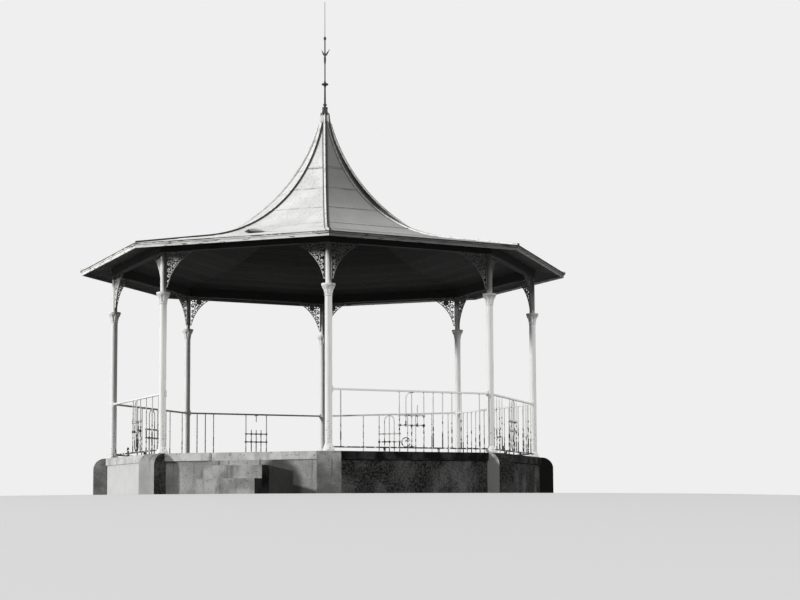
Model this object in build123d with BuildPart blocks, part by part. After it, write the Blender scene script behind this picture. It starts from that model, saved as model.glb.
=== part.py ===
"""Octagonal park bandstand: a masonry plinth with steps, eight cast-iron columns, and a tent roof.

Millimetres, +Z up, origin on the ground at the centre of the plinth. The steps face -Y (south).
Bays are named by the way they face, and columns are counted anticlockwise from the steps' left.
"""

import os

from math import asin, cos, degrees, radians, sin, tan

from build123d import *

# Plan: the columns stand on a circle, one at each corner of an octagon.
SIDES = 8
BAY_ANGLE = 360 / SIDES
HALF_BAY = BAY_ANGLE / 2
COLUMN_RING_RADIUS = 3600
FIRST_COLUMN_ANGLE = -90 - HALF_BAY
BAY_NAMES = ["south", "south_east", "east", "north_east", "north", "north_west", "west", "south_west"]
STEPS_BAY = "south"

# Plinth
FLOOR_HEIGHT = 640
WALL_FACE_OFFSET = 135
WALL_THICKNESS = 330
PIER_WIDTH = 360
PIER_PROJECTION = 160
PIER_DEPTH = 600
PIER_TOP_RUN = 180
PIER_TOP_DROP = 170
PIER_TOP_ROUNDING = 45
COPING_HEIGHT = 120
COPING_OVERHANG = 25
COPING_WIDTH = 230

# Steps
STEP_WIDTH = 950
STEP_GOING = 260
STEP_RISER = 200
COPING_GAP_BESIDE_STEPS = 25

# Columns, their heights above the floor
COLUMN_HEIGHT = 3132
SHAFT_RADIUS = 55
SHAFT_HEAD_RADIUS = 46
BASE_PLATE_RADIUS = 92
BASE_PLATE_HEIGHT = 22
BASE_FLARE_HEIGHT = 90
COLLAR_DROP = 628
COLLAR_HEIGHT = 165
COLLAR_RADIUS = 106
BELL_WAIST_RADIUS = 68
BELL_WAIST_HEIGHT = 78
COLLAR_DISC_HEIGHT = 28
RING_RADIUS = 65
RING_HEIGHT = 24

# Brackets, hung from the wall plate and held against the column heads
BRACKET_REACH = 480
BRACKET_DROP = 550
BRACKET_THICKNESS = 14
BRACKET_TIP = 30
BRACKET_HOLLOW = 78

# Piercings of the brackets, from the column's axis and the wall plate: a daisy, and eyes towards both tips
DAISY_PLACE = (222, -98)
PETALS = 8
PETAL_START = 14
PETAL_WAIST = 50
PETAL_END = 80
PETAL_WIDTH = 33
EYES = [
    (82, -50, 30),
    (82, -134, 34),
    (99, -226, 39),
    (171, -226, 22),
    (100, -312, 34),
    (86, -384, 25),
    (77, -442, 15),
    (342, -53, 31),
    (402, -38, 19),
    (438, -27, 10),
]
EYE_SIDES = 4

# Railings, their heights above the floor
HANDRAIL_TOP = 943
HANDRAIL_WIDTH = 48
HANDRAIL_DEPTH = 28
HANDRAIL_ROUNDING = 9
BOTTOM_RAIL_HEIGHT = 55
BOTTOM_RAIL_DEPTH = 20
BOTTOM_RAIL_WIDTH = 32
BOTTOM_RAIL_FOOT = 24
BAR = 14
FIRST_BALUSTER = 198
BALUSTERS_A_SIDE = 6
PANEL_HALF_WIDTH = 208
LOOP_HALF_WIDTH = 98
CROSSBAR_HEIGHTS = (407, 559)
CROSSBAR_DEPTH = 20
SCROLL_BAR = 12

# Balusters lost from each bay, counted from the columns inwards, on the left seen from outside and the right
LOST_BALUSTERS = {
    "south_east": [(2, 3, 4, 5, 6), (2,)],
    "east": [(5, 6), (5, 6)],
    "north_east": [(), ()],
    "north": [(2,), (1, 2, 3, 4, 6)],
    "north_west": [(1, 2, 3, 4, 5, 6), (4, 5, 6)],
    "west": [(2, 3), (1, 2, 3, 4)],
    "south_west": [(1, 2, 3, 4, 5, 6), (2, 4, 6)],
}

# Lost from the loops and middle bars: boxes from left, bottom to right, top, about the middle of the bay
LOST_LOOP = {
    "south_east": [(-130, 90, -20, 385), (20, 90, 130, 385), (20, 720, 130, 905)],
    "south_west": [(20, 560, 130, 905)],
    "north_west": [(-130, 640, 130, 790), (-130, 790, -20, 905), (20, 790, 130, 905)],
}

# Scrolls that are left standing on the bottom rails: a radius and a distance from the left-hand column
SCROLLS = {
    "east": [(34, 778)],
    "south_west": [(42, 152), (46, 895)],
}

# Scrolls that are left in the middle panels: a radius and a place from the middle bar
PANEL_SCROLLS = {"south_east": [(76, -98)], "east": [(48, 52)]}

# Roof: a straight skirt rises from the eave into one hollow curve.
WALL_PLATE_WIDTH = 110
WALL_PLATE_DEPTH = 144
EAVE_OVERHANG = 504
DECK_THICKNESS = 45
SHEET_THICKNESS = 5
SKIRT_SLOPE = 12
SKIRT_RUN = 1345
CROWN_RISE = 2751
FASCIA_THICKNESS = 31
FASCIA_HEIGHT = 72
FASCIA_LIP_THICKNESS = 15
FASCIA_LIP_HEIGHT = 27
SHEET_DRIP = 12
HIP_ROLL_WIDTH = 56
HIP_ROLL_HEIGHT = 26
MITRE_GAP = 3

# Finial, its heights above the top of the drum
DRUM_RADIUS = 69
DRUM_HEIGHT = 129
ROD_RADIUS = 11
ROD_HEIGHT = 1190
KNOPS = [(50, 52, 16), (104, 24, 18), (320, 22, 14), (403, 56, 14), (748, 20, 14), (1192, 23, 43)]
CONE_HEIGHTS = (413, 493)
CONE_RADIUS = 34
SPINDLE_HEIGHTS = (760, 893)
SPINDLE_RADIUS = 26
VANE_HEIGHT = 1022
VANE_REACH = 92
VANE_THICKNESS = 8
VANE_ARM = 16
CONDUCTOR_RADIUS = 5
CONDUCTOR_HEIGHT = 1988

WALL_TOP = FLOOR_HEIGHT - COPING_HEIGHT
PLATE_BOTTOM = FLOOR_HEIGHT + COLUMN_HEIGHT
COLUMN_APOTHEM = COLUMN_RING_RADIUS * cos(radians(HALF_BAY))
BAY_CHORD = 2 * COLUMN_RING_RADIUS * sin(radians(HALF_BAY))
WALL_FACE_APOTHEM = COLUMN_APOTHEM + WALL_FACE_OFFSET
COPING_APOTHEM = WALL_FACE_APOTHEM + COPING_OVERHANG
DECK_EAVE_APOTHEM = COLUMN_APOTHEM + EAVE_OVERHANG
FASCIA_APOTHEM = DECK_EAVE_APOTHEM + FASCIA_THICKNESS
SHEET_EAVE_APOTHEM = FASCIA_APOTHEM + SHEET_DRIP
DECK_BOTTOM = SHEET_THICKNESS + DECK_THICKNESS
SKIRT_TAN = tan(radians(SKIRT_SLOPE))
SKIRT_COS = cos(radians(SKIRT_SLOPE))
SKIRT_SIN = sin(radians(SKIRT_SLOPE))
TALL = 3 * COLUMN_RING_RADIUS

os.makedirs("parts", exist_ok=True)


def save(part, name):
    """Label a finished piece and write it."""
    part.label = name
    export_step(part, f"parts/{name}.step")


def column_angle(number):
    return FIRST_COLUMN_ANGLE + BAY_ANGLE * number


def bay_angle(number):
    return -90 + BAY_ANGLE * number


def elevation_plane(angle, distance=0.0, height=0.0):
    """The upright plane that faces a direction: x runs to the right seen from outside, y runs up."""
    out = Vector(cos(radians(angle)), sin(radians(angle)), 0)
    along = Vector(-out.Y, out.X, 0)
    return Plane(origin=out * distance + Vector(0, 0, height), x_dir=along, z_dir=out)


def section_plane(angle):
    """The upright plane through the axis: x runs outwards in a direction, y runs up."""
    out = Vector(cos(radians(angle)), sin(radians(angle)), 0)
    return Plane(origin=(0, 0, 0), x_dir=out, z_dir=(out.Y, -out.X, 0))


def polar(radius, angle):
    return (radius * cos(radians(angle)), radius * sin(radians(angle)))


def hip_radius(apothem):
    return apothem / cos(radians(HALF_BAY))


def roof_height(apothem, depth=0.0):
    """Height of the skirt in the middle of a bay, a depth below the sheet's top face."""
    rise = (COLUMN_APOTHEM - apothem) * SKIRT_TAN
    return PLATE_BOTTOM + WALL_PLATE_DEPTH + rise + (DECK_BOTTOM - depth) / SKIRT_COS


# The hollow curve starts in line with the skirt and passes through the crown, at the drum's rim.
SKIRT_END = Vector(DECK_EAVE_APOTHEM - SKIRT_RUN, roof_height(DECK_EAVE_APOTHEM - SKIRT_RUN))
CROWN = Vector(DRUM_RADIUS, PLATE_BOTTOM + CROWN_RISE)
SKIRT_NORMAL = Vector(SKIRT_SIN, SKIRT_COS)
CHORD = CROWN - SKIRT_END
ROOF_ARC_RADIUS = CHORD.dot(CHORD) / (2 * CHORD.dot(SKIRT_NORMAL))
ARC_CENTRE = SKIRT_END + SKIRT_NORMAL * ROOF_ARC_RADIUS


def arc_point(slope, depth=0.0):
    """A point on the hollow curve where its slope is an angle, a depth below the sheet's top face."""
    radius = ROOF_ARC_RADIUS + depth
    return (ARC_CENTRE.X - radius * sin(radians(slope)), ARC_CENTRE.Y - radius * cos(radians(slope)))


def arc_slope(apothem):
    """Slope of the hollow curve at an apothem."""
    return degrees(asin((ARC_CENTRE.X - apothem) / ROOF_ARC_RADIUS))


def roof_band(angle, top, bottom, outer, inner, plan):
    """One bay's layer of the roof between two depths and two apothems, cut to an outline in plan."""
    steep = arc_slope(inner)
    middle = (steep + SKIRT_SLOPE) / 2
    with BuildPart() as band:
        with BuildSketch(section_plane(angle)):
            with BuildLine():
                upper_eave = (outer, roof_height(outer, top))
                lower_eave = (outer, roof_height(outer, bottom))
                Line(lower_eave, upper_eave)
                Line(upper_eave, arc_point(SKIRT_SLOPE, top))
                ThreePointArc(arc_point(SKIRT_SLOPE, top), arc_point(middle, top), arc_point(steep, top))
                Line(arc_point(steep, top), arc_point(steep, bottom))
                skirt_end = arc_point(SKIRT_SLOPE, bottom)
                ThreePointArc(arc_point(steep, bottom), arc_point(middle, bottom), skirt_end)
                Line(skirt_end, lower_eave)
            make_face()
        extrude(amount=outer, both=True)
        with BuildSketch(Plane.XY):
            with BuildLine():
                Polyline(*plan, close=True)
            make_face()
        extrude(amount=TALL, mode=Mode.INTERSECT)
    return band.part


def eave_band(angle, outline):
    """One bay's straight length with a section drawn outwards and upwards, mitred at the hips."""
    reach = max(apothem for apothem, height in outline)
    with BuildPart() as length:
        with BuildSketch(section_plane(angle)):
            with BuildLine():
                Polyline(*outline, close=True)
            make_face()
        extrude(amount=reach, both=True)
        with BuildSketch(Plane.XY):
            with BuildLine():
                Polyline(*wedge(angle, reach, MITRE_GAP), close=True)
            make_face()
        extrude(amount=TALL, mode=Mode.INTERSECT)
    return length.part


def wedge(angle, apothem, gap=0.0):
    """Plan of one bay from the axis out past an apothem, kept half a gap off both hips."""
    reach = hip_radius(apothem) * 1.2
    clear = gap / 2 / sin(radians(HALF_BAY))
    start = Vector(*polar(clear, angle))
    right = start + Vector(*polar(reach, angle - HALF_BAY))
    left = start + Vector(*polar(reach, angle + HALF_BAY))
    return [(start.X, start.Y), (right.X, right.Y), (left.X, left.Y)]


def ring_prism(outer, inner, bottom, top):
    """An octagonal ring between two apothems, with its corners on the hips."""
    with BuildPart() as ring:
        with BuildSketch(Plane.XY.offset(bottom)):
            RegularPolygon(hip_radius(outer), SIDES, rotation=HALF_BAY)
            if inner:
                RegularPolygon(hip_radius(inner), SIDES, rotation=HALF_BAY, mode=Mode.SUBTRACT)
        extrude(amount=top - bottom)
    return ring.part


def make_plinth():
    """Eight wall lengths between eight radial piers, a rubble core, the paved floor and its coping."""
    pier_outer = hip_radius(WALL_FACE_APOTHEM) + PIER_PROJECTION
    pier_inner = pier_outer - PIER_DEPTH
    with BuildPart() as blocks:
        for number in range(SIDES):
            with BuildSketch(section_plane(column_angle(number))):
                with Locations((pier_inner, 0)):
                    Rectangle(PIER_DEPTH, FLOOR_HEIGHT, align=(Align.MIN, Align.MIN))
            extrude(amount=PIER_WIDTH / 2, both=True)

    with BuildPart() as piers:
        add(blocks.part)
        for number in range(SIDES):
            with BuildSketch(section_plane(column_angle(number))):
                with BuildLine():
                    shoulder = (pier_outer, FLOOR_HEIGHT - PIER_TOP_DROP)
                    crest = (pier_outer - PIER_TOP_RUN, FLOOR_HEIGHT)
                    Polyline(crest, (pier_outer, FLOOR_HEIGHT), shoulder)
                    SagittaArc(shoulder, crest, -PIER_TOP_ROUNDING)
                make_face()
            extrude(amount=PIER_WIDTH / 2, both=True, mode=Mode.SUBTRACT)
    save(piers.part, "plinth_piers")

    for number in range(SIDES):
        with BuildPart() as wall:
            add(ring_prism(WALL_FACE_APOTHEM, WALL_FACE_APOTHEM - WALL_THICKNESS, 0, WALL_TOP))
            with BuildSketch(Plane.XY):
                with BuildLine():
                    Polyline(*wedge(bay_angle(number), WALL_FACE_APOTHEM), close=True)
                make_face()
            extrude(amount=TALL, mode=Mode.INTERSECT)
            add(blocks.part, mode=Mode.SUBTRACT)
        save(wall.part, f"plinth_wall_{BAY_NAMES[number]}")

    with BuildPart() as core:
        add(ring_prism(WALL_FACE_APOTHEM - WALL_THICKNESS, 0, 0, WALL_TOP))
        add(blocks.part, mode=Mode.SUBTRACT)
    save(core.part, "plinth_core")

    with BuildPart() as floor:
        add(ring_prism(COPING_APOTHEM - COPING_WIDTH, 0, WALL_TOP, FLOOR_HEIGHT))
        add(blocks.part, mode=Mode.SUBTRACT)
    save(floor.part, "floor_slab")

    with BuildPart() as coping:
        add(ring_prism(COPING_APOTHEM, COPING_APOTHEM - COPING_WIDTH, WALL_TOP, FLOOR_HEIGHT))
        add(blocks.part, mode=Mode.SUBTRACT)
        with BuildSketch(Plane.XY.offset(WALL_TOP)):
            with Locations((0, -WALL_FACE_APOTHEM)):
                gap = STEP_WIDTH + 2 * COPING_GAP_BESIDE_STEPS
                Rectangle(gap, 2 * COPING_OVERHANG, align=(Align.CENTER, Align.MAX))
        extrude(amount=COPING_HEIGHT, mode=Mode.SUBTRACT)
    save(coping.part, "plinth_coping")


def make_steps():
    """Two solid treads in front of the steps bay; the floor itself is the third rise."""
    upper_bottom = FLOOR_HEIGHT - 2 * STEP_RISER
    for name, goings, bottom, top in (
        ("lower_step", 2, 0, upper_bottom),
        ("upper_step", 1, upper_bottom, upper_bottom + STEP_RISER),
    ):
        with BuildPart() as step:
            with BuildSketch(Plane.XY.offset(bottom)):
                with Locations((0, -WALL_FACE_APOTHEM)):
                    Rectangle(STEP_WIDTH, goings * STEP_GOING, align=(Align.CENTER, Align.MAX))
            extrude(amount=top - bottom)
        save(step.part, name)


def column_outline():
    """Half the column's section: base plate, flare, shaft, ring, bell-shaped collar and upper shaft."""
    collar_top = COLUMN_HEIGHT - COLLAR_DROP
    bell_top = collar_top - COLLAR_DISC_HEIGHT
    bell_foot = collar_top - COLLAR_HEIGHT
    ring_foot = bell_foot - RING_HEIGHT
    with BuildLine() as line:
        Polyline(
            (0, 0),
            (BASE_PLATE_RADIUS, 0),
            (BASE_PLATE_RADIUS, BASE_PLATE_HEIGHT),
            (SHAFT_RADIUS, BASE_PLATE_HEIGHT + BASE_FLARE_HEIGHT),
            (SHAFT_RADIUS, ring_foot),
            (RING_RADIUS, ring_foot + RING_HEIGHT / 2),
            (SHAFT_RADIUS, bell_foot),
            (BELL_WAIST_RADIUS, bell_foot + BELL_WAIST_HEIGHT),
            (COLLAR_RADIUS, bell_top),
            (COLLAR_RADIUS, collar_top),
            (SHAFT_HEAD_RADIUS, collar_top),
            (SHAFT_HEAD_RADIUS, COLUMN_HEIGHT),
            (0, COLUMN_HEIGHT),
            (0, 0),
        )
    return line.line


def make_columns():
    """Eight cast columns, each turned about its own axis from one outline."""
    columns = []
    for number in range(SIDES):
        foot = Vector(*polar(COLUMN_RING_RADIUS, column_angle(number)), FLOOR_HEIGHT)
        upright = Plane(origin=foot, x_dir=(1, 0, 0), z_dir=(0, -1, 0))
        with BuildPart() as column:
            with BuildSketch(upright):
                with BuildLine():
                    add(column_outline())
                make_face()
            revolve(axis=Axis(foot, (0, 0, 1)))
        save(column.part, f"column_{number + 1}")
        columns.append(column.part)
    return columns


def bracket_outline(start):
    """The bracket's face in elevation, from a distance off the column's axis out to its hollow edge."""
    foot = SHAFT_HEAD_RADIUS + BRACKET_TIP
    with BuildSketch() as face:
        with BuildLine():
            Polyline((start, -BRACKET_DROP), (start, 0), (BRACKET_REACH, 0), (BRACKET_REACH, -BRACKET_TIP))
            SagittaArc((BRACKET_REACH, -BRACKET_TIP), (foot, -BRACKET_DROP), -BRACKET_HOLLOW)
            Line((foot, -BRACKET_DROP), (start, -BRACKET_DROP))
        make_face()
    return face.sketch


def bracket_sketch():
    """Cast bracket pierced by a daisy of petals in its widest part and by eyes towards both tips."""
    petal = [(PETAL_START, 0), (PETAL_WAIST, PETAL_WIDTH / 2), (PETAL_END, 0), (PETAL_WAIST, -PETAL_WIDTH / 2)]
    with BuildSketch() as plate:
        add(bracket_outline(0))
        with Locations(DAISY_PLACE):
            with PolarLocations(0, PETALS):
                Polygon(*petal, align=None, mode=Mode.SUBTRACT)
        for x, y, radius in EYES:
            with Locations((x, y)):
                RegularPolygon(radius, EYE_SIDES, mode=Mode.SUBTRACT)
    return plate.sketch


def make_brackets(columns):
    """A pair of openwork brackets on every column, one in the plane of each bay beside it."""
    right = bracket_sketch()
    left = mirror(right, about=Plane.YZ)
    for number in range(SIDES):
        with BuildPart() as pair:
            for face, side, bay in ((right, 1, number), (left, -1, number - 1)):
                plane = elevation_plane(bay_angle(bay), COLUMN_APOTHEM, PLATE_BOTTOM)
                with BuildSketch(plane):
                    with Locations((-side * BAY_CHORD / 2, 0)):
                        add(face)
                extrude(amount=BRACKET_THICKNESS / 2, both=True)
            add(columns[number], mode=Mode.SUBTRACT)
        save(pair.part, f"brackets_{number + 1}")


def baluster_places(lost_left, lost_right):
    """Where the balusters that are left stand, from the middle of the bay."""
    last = BAY_CHORD / 2 - FIRST_BALUSTER
    spacing = (last - PANEL_HALF_WIDTH) / BALUSTERS_A_SIDE
    places = []
    for side, lost in ((-1, lost_left), (1, lost_right)):
        for count in range(BALUSTERS_A_SIDE):
            if count + 1 not in lost:
                places.append(side * (last - count * spacing))
    return places


def scroll(radius):
    """An open ring of flat bar that stands on the rail and curls in towards its middle."""
    with BuildSketch() as face:
        Circle(radius)
        Circle(radius - SCROLL_BAR, mode=Mode.SUBTRACT)
        with Locations((radius, 0)):
            Rectangle(radius, radius / 2, mode=Mode.SUBTRACT)
        with Locations((0, radius / 4)):
            Rectangle(SCROLL_BAR, radius / 2)
            Rectangle(radius - SCROLL_BAR, SCROLL_BAR, align=(Align.MIN, Align.CENTER))
    return face.sketch


def loop(height, lost):
    """The long loop of the panel and its middle bar, less what is lost."""
    foot = BOTTOM_RAIL_HEIGHT + BOTTOM_RAIL_DEPTH
    with BuildSketch() as face:
        with Locations((0, foot + height / 2)):
            SlotOverall(height, 2 * LOOP_HALF_WIDTH + BAR, rotation=90)
            SlotOverall(height - 2 * BAR, 2 * LOOP_HALF_WIDTH - BAR, rotation=90, mode=Mode.SUBTRACT)
            Rectangle(BAR, height)
        for left, bottom, right, top in lost:
            with Locations(((left + right) / 2, (bottom + top) / 2)):
                Rectangle(right - left, top - bottom, mode=Mode.SUBTRACT)
    return face.sketch


def make_railings(columns):
    """One railing to a bay: handrail, bottom rail on feet, the balusters and panel work that are left."""
    rail_under = HANDRAIL_TOP - HANDRAIL_DEPTH
    rail_over = BOTTOM_RAIL_HEIGHT + BOTTOM_RAIL_DEPTH
    bar_height = rail_under - rail_over
    for number, name in enumerate(BAY_NAMES):
        if name == STEPS_BAY:
            continue
        plane = elevation_plane(bay_angle(number), COLUMN_APOTHEM, FLOOR_HEIGHT)
        bars = [-PANEL_HALF_WIDTH, PANEL_HALF_WIDTH] + baluster_places(*LOST_BALUSTERS[name])
        with BuildPart() as railing:
            with BuildSketch(plane):
                add(loop(bar_height, LOST_LOOP.get(name, [])))
                with Locations(*[(x, rail_over) for x in bars]):
                    Rectangle(BAR, bar_height, align=(Align.CENTER, Align.MIN))
                with Locations(*[(0, height) for height in CROSSBAR_HEIGHTS]):
                    Rectangle(2 * PANEL_HALF_WIDTH, CROSSBAR_DEPTH)
                scrolls = [(radius, distance - BAY_CHORD / 2) for radius, distance in SCROLLS.get(name, [])]
                for radius, place in scrolls + PANEL_SCROLLS.get(name, []):
                    with Locations((place, rail_over + radius - SCROLL_BAR / 4)):
                        add(scroll(radius))
            extrude(amount=BAR / 2, both=True)
            with BuildSketch(plane):
                with Locations((0, (HANDRAIL_TOP + rail_under) / 2)):
                    Rectangle(BAY_CHORD, HANDRAIL_DEPTH)
            extrude(amount=HANDRAIL_WIDTH / 2, both=True)
            top_edges = railing.edges().filter_by(Axis(plane.origin, plane.x_dir)).group_by(Axis.Z)[-1]
            chamfer(top_edges, length=HANDRAIL_ROUNDING)
            with BuildSketch(plane):
                with Locations((0, (BOTTOM_RAIL_HEIGHT + rail_over) / 2)):
                    Rectangle(BAY_CHORD, BOTTOM_RAIL_DEPTH)
                with Locations((-BAY_CHORD / 6, 0), (BAY_CHORD / 6, 0)):
                    Rectangle(BOTTOM_RAIL_FOOT, BOTTOM_RAIL_HEIGHT, align=(Align.CENTER, Align.MIN))
            extrude(amount=BOTTOM_RAIL_WIDTH / 2, both=True)
            add(columns[number], mode=Mode.SUBTRACT)
            add(columns[(number + 1) % SIDES], mode=Mode.SUBTRACT)
        save(railing.part, f"railing_{name}")


def make_eaves():
    """The timber wall plate on the columns and the fascia round the edge of the deck."""
    plate_inner = COLUMN_APOTHEM - WALL_PLATE_WIDTH / 2
    plate_outer = COLUMN_APOTHEM + WALL_PLATE_WIDTH / 2
    plate_section = [
        (plate_inner, PLATE_BOTTOM),
        (plate_outer, PLATE_BOTTOM),
        (plate_outer, roof_height(plate_outer, DECK_BOTTOM)),
        (plate_inner, roof_height(plate_inner, DECK_BOTTOM)),
    ]
    fascia_top = roof_height(FASCIA_APOTHEM, SHEET_THICKNESS)
    lip = FASCIA_APOTHEM - FASCIA_LIP_THICKNESS
    fascia_section = [
        (DECK_EAVE_APOTHEM, fascia_top - FASCIA_HEIGHT),
        (lip, fascia_top - FASCIA_HEIGHT),
        (lip, fascia_top - FASCIA_LIP_HEIGHT),
        (FASCIA_APOTHEM, fascia_top - FASCIA_LIP_HEIGHT),
        (FASCIA_APOTHEM, fascia_top),
        (DECK_EAVE_APOTHEM, roof_height(DECK_EAVE_APOTHEM, SHEET_THICKNESS)),
    ]
    for name, section in (("wall_plate", plate_section), ("eave_fascia", fascia_section)):
        with BuildPart() as ring:
            for number in range(SIDES):
                add(eave_band(bay_angle(number), section))
        save(ring.part, name)


def make_roof():
    """Eight hollow-curved panels of sheet on boards, and rolls over the joints along the hips."""
    with BuildPart() as deck:
        for number in range(SIDES):
            angle = bay_angle(number)
            outline = wedge(angle, DECK_EAVE_APOTHEM, MITRE_GAP)
            add(roof_band(angle, SHEET_THICKNESS, DECK_BOTTOM, DECK_EAVE_APOTHEM, DRUM_RADIUS, outline))
    save(deck.part, "roof_deck")

    for number in range(SIDES):
        angle = bay_angle(number)
        outline = wedge(angle, SHEET_EAVE_APOTHEM)
        sheet = roof_band(angle, 0, SHEET_THICKNESS, SHEET_EAVE_APOTHEM, DRUM_RADIUS, outline)
        save(sheet, f"roof_sheet_{BAY_NAMES[number]}")

    roll_end = 1.5 * HIP_ROLL_WIDTH
    with BuildPart() as rolls:
        for number in range(SIDES):
            hip = column_angle(number)
            for side in (-1, 1):
                across = Vector(*polar(HIP_ROLL_WIDTH / 2, hip + side * 90))
                foot = Vector(*polar(hip_radius(SHEET_EAVE_APOTHEM) * 1.1, hip))
                corners = [Vector(0, 0), foot, foot + across, across]
                outline = [(corner.X, corner.Y) for corner in corners]
                bay = hip + side * HALF_BAY
                add(roof_band(bay, -HIP_ROLL_HEIGHT, 0, SHEET_EAVE_APOTHEM, roll_end, outline))
    save(rolls.part, "hip_rolls")


def make_finial():
    """A drum over the crown, and a turned rod with knops, a pair of vane arms and a conductor."""
    drum_bottom = PLATE_BOTTOM + CROWN_RISE
    drum_top = drum_bottom + DRUM_HEIGHT
    with BuildPart() as drum:
        with BuildSketch(Plane.XY.offset(drum_bottom)):
            Circle(DRUM_RADIUS)
        extrude(amount=DRUM_HEIGHT)
    save(drum.part, "finial_drum")

    with BuildPart() as rod:
        with BuildSketch(Plane.XY.offset(drum_top)):
            Circle(ROD_RADIUS)
        extrude(amount=ROD_HEIGHT)
        with BuildSketch(Plane.XY.offset(drum_top + ROD_HEIGHT)):
            Circle(CONDUCTOR_RADIUS)
        extrude(amount=CONDUCTOR_HEIGHT - ROD_HEIGHT)
        for height, radius, half_height in KNOPS:
            with BuildSketch(Plane.XZ):
                with BuildLine():
                    middle = drum_top + height
                    Polyline((0, middle - half_height), (radius, middle), (0, middle + half_height), close=True)
                make_face()
            revolve(axis=Axis.Z)
        for heights, bottom_radius, top_radius in (
            (CONE_HEIGHTS, CONE_RADIUS, ROD_RADIUS),
            (SPINDLE_HEIGHTS, ROD_RADIUS, SPINDLE_RADIUS),
        ):
            with Locations((0, 0, drum_top + heights[0])):
                tall = heights[1] - heights[0]
                Cone(bottom_radius, top_radius, tall, align=(Align.CENTER, Align.CENTER, Align.MIN))
        with BuildSketch(Plane.XZ):
            for side in (-1, 1):
                with BuildLine():
                    Polyline(
                        (0, drum_top + SPINDLE_HEIGHTS[1] - VANE_ARM),
                        (side * VANE_REACH, drum_top + VANE_HEIGHT - VANE_ARM),
                        (side * VANE_REACH, drum_top + VANE_HEIGHT),
                        (0, drum_top + SPINDLE_HEIGHTS[1] + VANE_ARM),
                        close=True,
                    )
                make_face()
        extrude(amount=VANE_THICKNESS / 2, both=True)
    save(rod.part, "finial_rod")


make_plinth()
make_steps()
column_parts = make_columns()
make_brackets(column_parts)
make_railings(column_parts)
make_eaves()
make_roof()
make_finial()
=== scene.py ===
# %% [markdown]
# # An iron bandstand in Blender
# The bandstand stands on a rendered plinth. Eight cast iron columns carry a swept roof of
# sheet metal on boards, and wrought iron railings run between the columns. Its solids come
# from the CAD model, in metres, and are never moved or reshaped here. This lesson gives them
# their finishes, adds what is too fine for the CAD model, and sets the light and the camera.

# %% Load the frame
import math
import random

import bmesh
import bpy
from mathutils import Matrix, Vector
from mathutils.bvhtree import BVHTree


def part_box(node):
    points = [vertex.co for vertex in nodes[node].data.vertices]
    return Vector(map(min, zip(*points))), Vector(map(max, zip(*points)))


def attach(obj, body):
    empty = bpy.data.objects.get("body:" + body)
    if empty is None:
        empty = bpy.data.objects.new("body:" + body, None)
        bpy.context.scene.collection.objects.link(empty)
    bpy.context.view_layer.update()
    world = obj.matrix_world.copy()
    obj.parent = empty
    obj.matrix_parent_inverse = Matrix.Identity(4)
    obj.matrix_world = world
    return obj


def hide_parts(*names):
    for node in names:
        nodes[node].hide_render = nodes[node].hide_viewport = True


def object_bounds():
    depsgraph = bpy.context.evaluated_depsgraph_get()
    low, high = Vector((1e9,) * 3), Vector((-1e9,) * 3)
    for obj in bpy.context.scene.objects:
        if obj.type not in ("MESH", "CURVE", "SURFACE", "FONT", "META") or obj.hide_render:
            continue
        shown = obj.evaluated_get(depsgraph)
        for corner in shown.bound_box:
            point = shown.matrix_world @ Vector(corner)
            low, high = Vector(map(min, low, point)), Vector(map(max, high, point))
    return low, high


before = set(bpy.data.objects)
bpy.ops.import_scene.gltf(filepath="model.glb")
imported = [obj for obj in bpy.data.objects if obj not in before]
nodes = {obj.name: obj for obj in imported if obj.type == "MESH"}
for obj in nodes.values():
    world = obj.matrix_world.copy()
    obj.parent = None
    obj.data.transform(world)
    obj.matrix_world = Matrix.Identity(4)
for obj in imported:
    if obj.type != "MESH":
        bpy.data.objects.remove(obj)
cad_low, cad_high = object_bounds()
print(len(nodes), "nodes, overall", [round(high - low, 3) for low, high in zip(cad_low, cad_high)])

# %% [markdown]
# ## Sizes read from the frame
# Whatever is added later sits on a solid, so its place is worked out from the boxes of those
# solids. The sizes could be typed in, but read from the boxes they stay right when the CAD
# model changes. The octagon has a bay between every two columns. The steps are in the first
# bay, and the columns either side of it are the first and the second.

# %% Read the main sizes
SIDES = 8
BAY = math.tau / SIDES
TAN_HALF_BAY = math.tan(BAY / 2)
BAY_NAMES = ["south", "south_east", "east", "north_east", "north", "north_west", "west", "south_west"]
EAST, NORTH, UP = Vector((1, 0, 0)), Vector((0, 1, 0)), Vector((0, 0, 1))


def middle(node):
    """The middle of a node's box, in plan."""
    low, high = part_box(node)
    return Vector(((low.x + high.x) / 2, (low.y + high.y) / 2, 0))


column_places = [middle(f"column_{number + 1}") for number in range(SIDES)]
column_apothem = column_places[0].length * math.cos(BAY / 2)
floor_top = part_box("floor_slab")[1].z
plate_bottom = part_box("wall_plate")[0].z
wall_face = -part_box("plinth_wall_south")[0].y
print("the floor is", round(floor_top, 3), "m up, and the wall plate", round(plate_bottom, 3))

# %% [markdown]
# ## The camera
# The photograph was taken with a long lens from a little below the bandstand's foot, to the
# right of its steps. A small shift of the lens keeps its uprights parallel, and the rest of
# the upward view is a tilt. The camera could be aimed at a point, but a turn and a height
# angle can be corrected one at a time.

# %% Set up the camera
VIEW_AZIMUTH = math.radians(21.7)
VIEW_DISTANCE = 26.64
VIEW_HEIGHT = -0.16
AIM_RIGHT = math.radians(2.77)
AIM_UP = math.radians(4.6)
ROLL = math.radians(-0.26)
LENS, SENSOR = 69.84, 36
LENS_SHIFT = 0.1
SEES_TO = 400


def direction(turn, height):
    """The direction to what stands at a turn from the steps and a height angle."""
    return Vector((math.sin(turn) * math.cos(height), -math.cos(turn) * math.cos(height), math.sin(height)))


def add_object(name, data):
    """Put data in the scene as an object."""
    made = bpy.data.objects.new(name, data)
    bpy.context.scene.collection.objects.link(made)
    return made


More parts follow.
